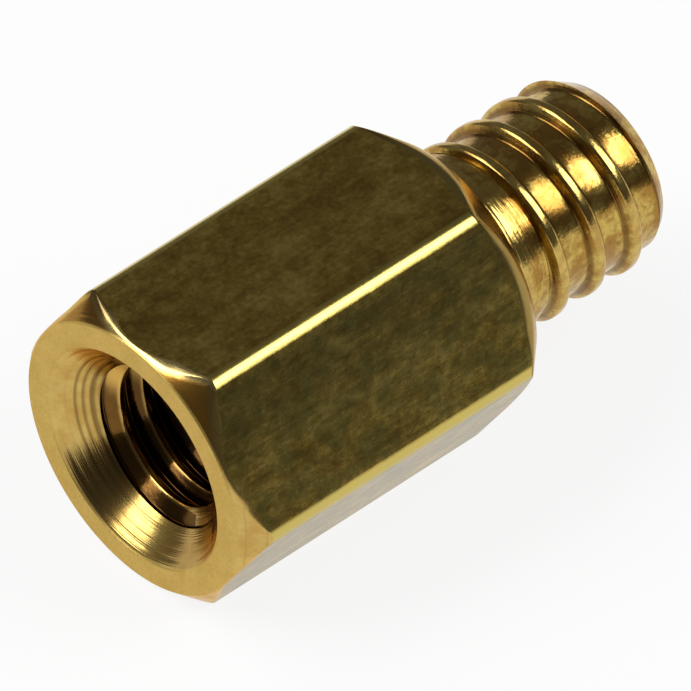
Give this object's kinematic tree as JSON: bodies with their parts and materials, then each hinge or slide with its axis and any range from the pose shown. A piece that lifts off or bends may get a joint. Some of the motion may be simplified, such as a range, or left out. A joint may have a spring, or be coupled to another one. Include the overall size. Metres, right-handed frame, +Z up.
{
  "type": "jack screw",
  "caption": "Short hexagonal brass jack screw with a countersunk tapped hole in one end and a threaded stud on the other.",
  "frame": {"origin": "middle of the shoulder, on the axis, where the stud leaves the hexagonal body", "axes": "+X along the axis, out of the body through the stud to its tip; +Z up, square to one flat of the hexagon; the part lies on the opposite flat, 2.5 mm below the origin"},
  "size_m": [0.0103, 0.0056, 0.005],
  "materials": {
    "brass": "drawn flats, turned ends, lightly tarnished"
  },
  "bodies": {
    "root": {"jack_screw": "brass"}
  },
  "joints": []
}
